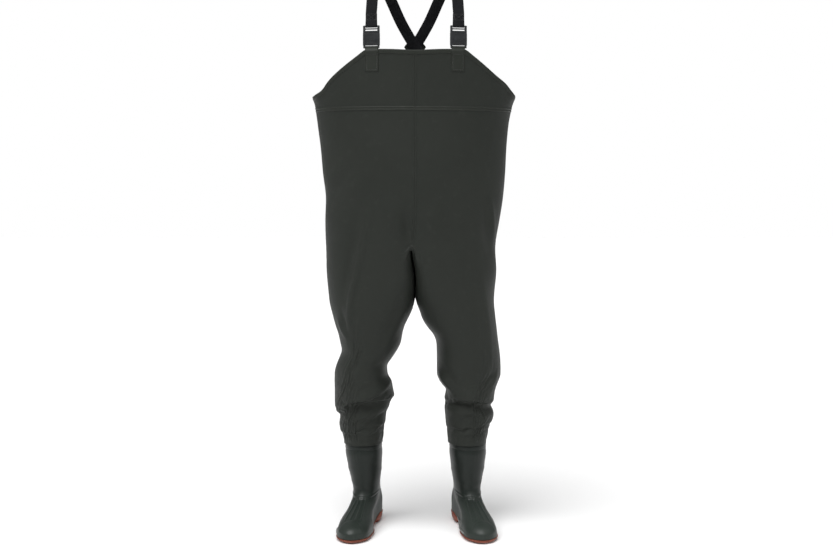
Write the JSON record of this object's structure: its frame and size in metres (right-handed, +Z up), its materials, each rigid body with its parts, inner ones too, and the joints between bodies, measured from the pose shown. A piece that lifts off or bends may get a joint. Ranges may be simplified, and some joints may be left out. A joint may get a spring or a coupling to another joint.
{
  "type": "chest waders",
  "caption": "Chest-high fishing waders in coated cloth with welded-on moulded boots, crossed webbing braces and side-release buckles.",
  "frame": {"origin": "on the floor, midway between the boots and midway between the front-most and rear-most points", "axes": "+Z up, -Y the way the wearer faces, +X the wearer's left"},
  "size_m": [0.527, 0.3243, 1.4847],
  "materials": {
    "cloth": "matt coated cloth with a soft sheen",
    "cloth_trim": "the same cloth, folded and welded",
    "seam_tape": "smooth tape",
    "buckle": "moulded, fine texture",
    "webbing": "woven",
    "boot": "semi-gloss moulding",
    "lining": "knitted",
    "sole": "matt moulding"
  },
  "bodies": {
    "waders": {"back_centre_seam_tape": "seam_tape", "crossing_patch": "cloth_trim", "front_centre_seam_tape": "seam_tape", "left_back_hem": "cloth_trim", "left_back_panel": "cloth", "left_bib_hem": "cloth_trim", "left_bib_panel": "cloth", "left_boot_joint_band": "boot", "left_boot_lining": "lining", "left_boot_upper": "boot", "left_brace": "webbing", "left_brace_anchor_patch": "cloth_trim", "left_buckle_socket": "buckle", "left_chest_seam_welt": "cloth_trim", "left_front_panel": "cloth", "left_inseam_tape": "seam_tape", "left_insole": "lining", "left_outsole": "sole", "left_side_seam_tape": "seam_tape", "left_strap_tab": "cloth_trim", "right_back_hem": "cloth_trim", "right_back_panel": "cloth", "right_bib_hem": "cloth_trim", "right_bib_panel": "cloth", "right_boot_joint_band": "boot", "right_boot_lining": "lining", "right_boot_upper": "boot", "right_brace": "webbing", "right_brace_anchor_patch": "cloth_trim", "right_buckle_socket": "buckle", "right_chest_seam_welt": "cloth_trim", "right_front_panel": "cloth", "right_inseam_tape": "seam_tape", "right_insole": "lining", "right_outsole": "sole", "right_side_seam_tape": "seam_tape", "right_strap_tab": "cloth_trim"},
    "left_plug": {"left_buckle_plug": "buckle", "left_webbing_end": "webbing"},
    "right_plug": {"right_buckle_plug": "buckle", "right_webbing_end": "webbing"},
    "left_outer_prong": {"left_outer_prong": "buckle"},
    "left_inner_prong": {"left_inner_prong": "buckle"},
    "right_outer_prong": {"right_outer_prong": "buckle"},
    "right_inner_prong": {"right_inner_prong": "buckle"}
  },
  "joints": [
    {"name": "left_buckle_release", "type": "slide", "parent": "waders", "child": "left_plug", "axis": [0, 0, 1], "range_m": [0, 0.034], "deforming": ["left_brace", "left_outer_prong", "left_inner_prong"]},
    {"name": "left_outer_prong_squeeze", "type": "hinge", "parent": "left_plug", "child": "left_outer_prong", "pos_m": [0.12334, -0.13053, 1.3268], "axis": [-0.2504, 0.9681, 0], "range_deg": [0, 11], "stiffness_Nm_per_rad": 0.08},
    {"name": "left_inner_prong_squeeze", "type": "hinge", "parent": "left_plug", "child": "left_inner_prong", "pos_m": [0.10011, -0.13654, 1.3268], "axis": [0.2504, -0.9681, 0], "range_deg": [0, 11], "stiffness_Nm_per_rad": 0.08},
    {"name": "right_buckle_release", "type": "slide", "parent": "waders", "child": "right_plug", "axis": [0, 0, 1], "range_m": [0, 0.034], "deforming": ["right_brace", "right_outer_prong", "right_inner_prong"]},
    {"name": "right_outer_prong_squeeze", "type": "hinge", "parent": "right_plug", "child": "right_outer_prong", "pos_m": [-0.12334, -0.13053, 1.3268], "axis": [-0.2504, -0.9681, 0], "range_deg": [0, 11], "stiffness_Nm_per_rad": 0.08},
    {"name": "right_inner_prong_squeeze", "type": "hinge", "parent": "right_plug", "child": "right_inner_prong", "pos_m": [-0.10011, -0.13654, 1.3268], "axis": [0.2504, 0.9681, 0], "range_deg": [0, 11], "stiffness_Nm_per_rad": 0.08}
  ]
}
